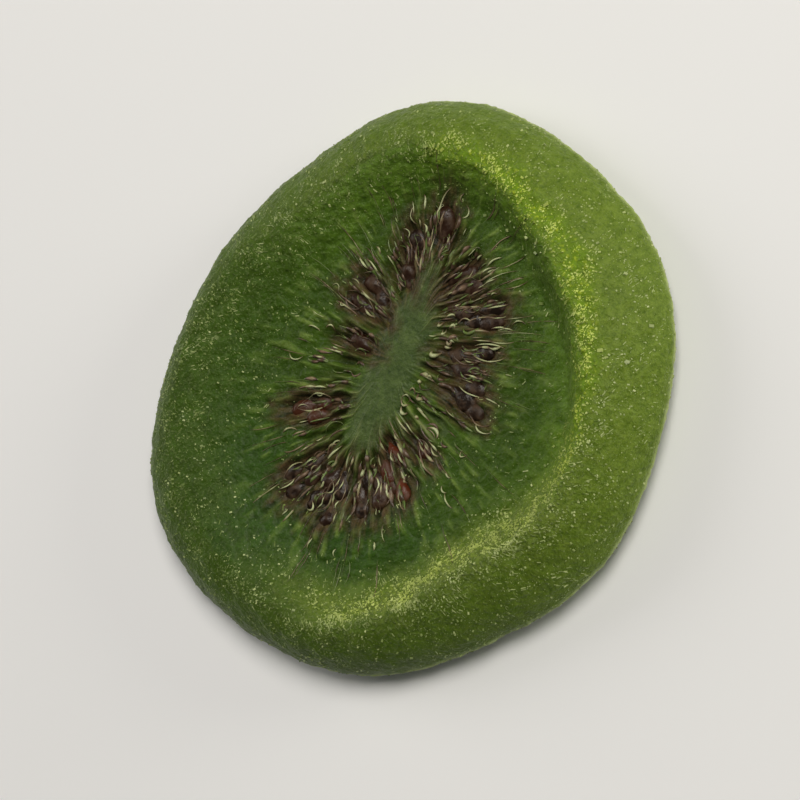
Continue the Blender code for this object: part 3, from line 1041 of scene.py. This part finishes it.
def wisp_guides(ground):
    """Guide lines for all the wisps, as one mesh of edges with a thickness and a tone at each point."""
    points, edges, radii, tones = [], [], [], []
    for turn, offset, length, bend, thick, lift, tone in wisp_plans():
        first = len(points)
        for share in np.linspace(0.0, 1.0, WISP_POINTS):
            arch = math.sin(math.pi * share)
            out = offset + length * share
            aside = bend * arch**0.7 / side_stretch(turn, out)
            place = ground.under(*ring_point(turn + aside, out))
            points.append((place + Vector((0, 0, lift * arch))) * MM)
            uneven = noise.noise(points[-1] / (0.5 * MM))
            radii.append(thick * (0.2 + 0.8 * arch**0.7) * (1 + WISP_KNOTS * uneven) * MM)
            tones.append(tone * (0.45 + 0.55 * arch) + WISP_MOTTLE * uneven)
        edges += [(first + index, first + index + 1) for index in range(WISP_POINTS - 1)]
    mesh = bpy.data.meshes.new("wisp_guides")
    mesh.from_pydata(points, edges, [])
    write_fields(mesh, {"thickness": radii, "tone": tones})
    return mesh


def wisp_tree():
    """A round thread along each guide line, as thick as the line's points say."""
    tree, given = new_growth("wisps_on_guides", (), {"Sides": "Int"})
    line = add(tree, "GeometryNodeMeshToCurve", {"Mesh": given["Geometry"]})
    thickness = add(tree, "GeometryNodeInputNamedAttribute", {"Name": "thickness"}, data_type="FLOAT")
    circle = add(tree, "GeometryNodeCurvePrimitiveCircle", {"Resolution": given["Sides"], "Radius": 1.0})
    thread = {"Curve": line, "Profile Curve": circle, "Fill Caps": True, "Scale": thickness}
    smooth = add(tree, "GeometryNodeSetShadeSmooth", {0: add(tree, "GeometryNodeCurveToMesh", thread)})
    return end_growth(tree, given, smooth)


def wisp_material():
    """Dried membrane: thin wisps, from green through brown to cream, with a waxy shine."""
    material, tree, shader = new_material("dried_membrane")
    between = {0.2: "#64763c", 0.35: "#3d2c20", 0.6: "#77614c", 0.8: "#9a9a70"}
    feed(tree, shader, {"Base Color": colour_by_tone(tree, "#56702c", "#b2ba8c", between), "Roughness": 0.35})
    return material


def make_wisps(ground):
    values = {"Sides": WISP_SIDES, "Material": wisp_material()}
    dress(grow("wisps", wisp_guides(ground), wisp_tree(), values))


# Sugar


# Each kind has the weight it is strewn by, its density to the square metre, patch size, how bare it is
# between the patches, its least and greatest size, how many times longer than wide it is at least and at
# most, and how far it turns
SUGAR_INPUTS = (
    "Density",
    "Patch Size",
    "Bareness",
    "Smallest",
    "Largest",
    "Least Stretch",
    "Most Stretch",
    "Spread",
)
SUGAR_KINDS = {
    "sugar_grains": ("frost", 1.7e7, 1.6 * MM, 0.46, 0.035 * MM, 0.12 * MM, 1.0, 1.6, 3.1),
    "sugar_needles": ("frost", 1.3e7, 2.2 * MM, 0.53, 0.035 * MM, 0.075 * MM, 4.0, 9.0, 0.8),
    "sugar_crumbs": ("frost", 3.5e5, 1.5 * MM, 0.46, 0.10 * MM, 0.26 * MM, 1.0, 1.6, 3.1),
    "sugar_lumps": ("grit", 2.0e7, 1.1 * MM, 0.46, 0.05 * MM, 0.15 * MM, 1.0, 1.6, 3.1),
}

# How soft the edges of the patches are, how far the crystals tilt, and how rare the large ones are
PATCH_EDGE = 0.15
CRYSTAL_TILT = 0.35
CRYSTAL_RARITY = 3.0


def crystal_tree():
    """Crystals strewn over the flesh as thick as one of its weights says, most of them pointing outwards."""
    others = {"Weight": "String", "Seed": "Int", "Tone Seed": "Int"}
    tree, given = new_growth("strewn_crystals", SUGAR_INPUTS, others)
    frost = add(tree, "GeometryNodeInputNamedAttribute", {"Name": given["Weight"]}, data_type="FLOAT")
    scale = add(tree, "ShaderNodeMath", {0: 1.0, 1: given["Patch Size"]}, operation="DIVIDE")
    patch = add(tree, "ShaderNodeTexNoise", {"Scale": scale, "Detail": 3.0})
    full = add(tree, "ShaderNodeMath", {0: given["Bareness"], 1: PATCH_EDGE}, operation="ADD")
    limits = {"Value": patch, "From Min": given["Bareness"], "From Max": full, "To Min": 0.05, "To Max": 2.0}
    uneven = add(tree, "ShaderNodeMapRange", limits)
    thick = add(tree, "ShaderNodeMath", {0: frost, 1: uneven}, operation="MULTIPLY")
    density = add(tree, "ShaderNodeMath", {0: thick, 1: given["Density"]}, operation="MULTIPLY")
    strewn = {"Mesh": given["Geometry"], "Density": density, "Seed": given["Seed"]}
    spots = add(tree, "GeometryNodeDistributePointsOnFaces", strewn).outputs
    crystal = add(tree, "GeometryNodeMeshCube", {"Size": (1.0, 1.0, 0.8)})

    least = add(tree, "ShaderNodeMath", {0: given["Spread"], 1: -1.0}, operation="MULTIPLY")
    ranges = {
        "swing": (least, given["Spread"], "Seed"),
        "tilt": (-CRYSTAL_TILT, CRYSTAL_TILT, "Seed"),
        "chance": (0.0, 1.0, "Seed"),
        "stretch": (given["Least Stretch"], given["Most Stretch"], "Seed"),
        "tone": (0.0, 1.0, "Tone Seed"),
    }
    drawn = {}
    for name, (low, high, seed) in ranges.items():
        limits = {2: low, 3: high, "Seed": given[seed]}
        drawn[name] = add(tree, "FunctionNodeRandomValue", limits, data_type="FLOAT")

    # Lies along the surface, its length towards the slice's edge, and then turned at random
    axes = {"Primary Axis": spots["Normal"], "Secondary Axis": add(tree, "GeometryNodeInputPosition")}
    flat = add(tree, "FunctionNodeAxesToRotation", axes, primary_axis="Z", secondary_axis="X")
    turn = add(tree, "ShaderNodeCombineXYZ", {"Y": drawn["tilt"], "Z": drawn["swing"]})
    turns = {"Rotation": flat, "Rotate By": add(tree, "FunctionNodeEulerToRotation", {0: turn})}
    rotation = add(tree, "FunctionNodeRotateRotation", turns, rotation_space="LOCAL")

    # Most crystals are small, and a few are large
    rare = add(tree, "ShaderNodeMath", {0: drawn["chance"], 1: CRYSTAL_RARITY}, operation="POWER")
    limits = {"Value": rare, "To Min": given["Smallest"], "To Max": given["Largest"]}
    size = add(tree, "ShaderNodeMapRange", limits)
    length = add(tree, "ShaderNodeMath", {0: size, 1: drawn["stretch"]}, operation="MULTIPLY")
    shape = add(tree, "ShaderNodeCombineXYZ", {"X": length, "Y": size, "Z": size})
    lay = {"Points": spots["Points"], "Instance": crystal, "Rotation": rotation, "Scale": shape}
    laid = add(tree, "GeometryNodeInstanceOnPoints", lay)
    tone = {"Geometry": laid, "Name": "tone", "Value": drawn["tone"]}
    toned = add(tree, "GeometryNodeStoreNamedAttribute", tone, data_type="FLOAT", domain="INSTANCE")
    return end_growth(tree, given, toned)


def sugar_material():
    """Fine sugar: clear crystals that look pale, and take more or less green from what they lie on."""
    material, tree, shader = new_material("caster_sugar")
    colour = colour_by_tone(tree, "#566b28", "#b4bf85", {0.7: "#7c8f4c"})
    # Crystals over the band and the ridge take on their painted light and glow, and over the crust its paler
    # sugar
    below = (("band", 0.4, "#b2be7c"), ("crust", 0.5, "#b6c284"), ("rim", 0.7, "#cadc54"))
    for weight, strength, code in below:
        colour = lay_over(tree, colour, weight, strength, linear(code))
    feed(tree, shader, {"Base Color": colour, "Roughness": 0.45})
    return material


def make_sugar(flesh):
    tree, sugar = crystal_tree(), sugar_material()
    for number, (name, (weight, *measures)) in enumerate(SUGAR_KINDS.items()):
        seed = RANDOM_SEED + number
        values = {"Weight": weight, "Seed": seed, "Tone Seed": seed + 100, "Material": sugar}
        values |= dict(zip(SUGAR_INPUTS, measures))
        dress(grow(name, flesh.data.copy(), tree, values))


# The studio


def make_floor():
    bpy.ops.mesh.primitive_plane_add(size=3.0, location=(0.0, 0.0, -FLOOR_GAP * MM))
    floor = bpy.context.object
    floor.name = "floor"
    material, _, shader = new_material("matt_card")
    shader.inputs["Base Color"].default_value = linear("#eceef2")
    shader.inputs["Roughness"].default_value = 0.9
    floor.data.materials.append(material)
    floor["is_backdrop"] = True


def towards(azimuth, elevation):
    """The direction from the slice to a place round it. Azimuth 0 is in front, at -Y."""
    turn, rise = math.radians(azimuth), math.radians(elevation)
    return Vector((math.sin(turn) * math.cos(rise), -math.cos(turn) * math.cos(rise), math.sin(rise)))


def make_light(name, azimuth, elevation, distance, size, power, code):
    light = bpy.data.lights.new(name, "AREA")
    light.shape = "DISK"
    light.size = size
    light.energy = power
    light.color = linear(code)[:3]
    made = bpy.data.objects.new(name, light)
    made.location = towards(azimuth, elevation) * distance
    made.rotation_euler = towards(azimuth, elevation).to_track_quat("Z", "Y").to_euler()
    bpy.context.scene.collection.objects.link(made)


def make_camera():
    """Looks down on the slice, turned so that its high rim is on the picture's right."""
    view = towards(CAMERA_AZIMUTH, CAMERA_ELEVATION)
    heading = Vector((math.cos(math.radians(PICTURE_UP)), math.sin(math.radians(PICTURE_UP)), 0.0))
    up = (heading - heading.dot(view) * view).normalized()
    right = up.cross(view)
    lens = bpy.data.cameras.new("camera")
    lens.lens = 120.0
    lens.clip_start = 0.01
    camera = bpy.data.objects.new("camera", lens)
    turned = Matrix((right, up, view)).transposed().to_4x4()
    target = Vector((0.0, 0.0, CAMERA_TARGET_HEIGHT * MM))
    camera.matrix_world = Matrix.Translation(target + view * CAMERA_DISTANCE) @ turned
    bpy.context.scene.collection.objects.link(camera)
    bpy.context.scene.camera = camera


def make_studio():
    make_floor()
    make_light("key", 95, 60, 0.6, 0.30, 2.5, "#fff9ef")
    make_light("glow", 70, 14, 0.5, 0.20, 0.8, "#fffbe8")
    make_light("low", 205, 28, 0.6, 0.4, 1.3, "#fffaf0")
    make_camera()
    world = bpy.data.worlds.new("studio")
    world.use_nodes = True
    world.node_tree.nodes["Background"].inputs["Color"].default_value = linear("#f2f0ea")
    world.node_tree.nodes["Background"].inputs["Strength"].default_value = 0.11
    bpy.context.scene.world = world
    bpy.context.scene.view_settings.view_transform = "Standard"


def write_sizes():
    """Works out the solid's box and the dressed slice's box as plain lists."""
    boxes = {"cad": CAD_BOX, "visual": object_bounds()}
    plain = {name: [[float(value) for value in corner] for corner in box] for name, box in boxes.items()}


flesh, middle = make_flesh()
seeds = make_seeds(Ground([flesh], middle))
make_wisps(Ground([flesh, seeds], middle))
make_sugar(flesh)
make_studio()
write_sizes()
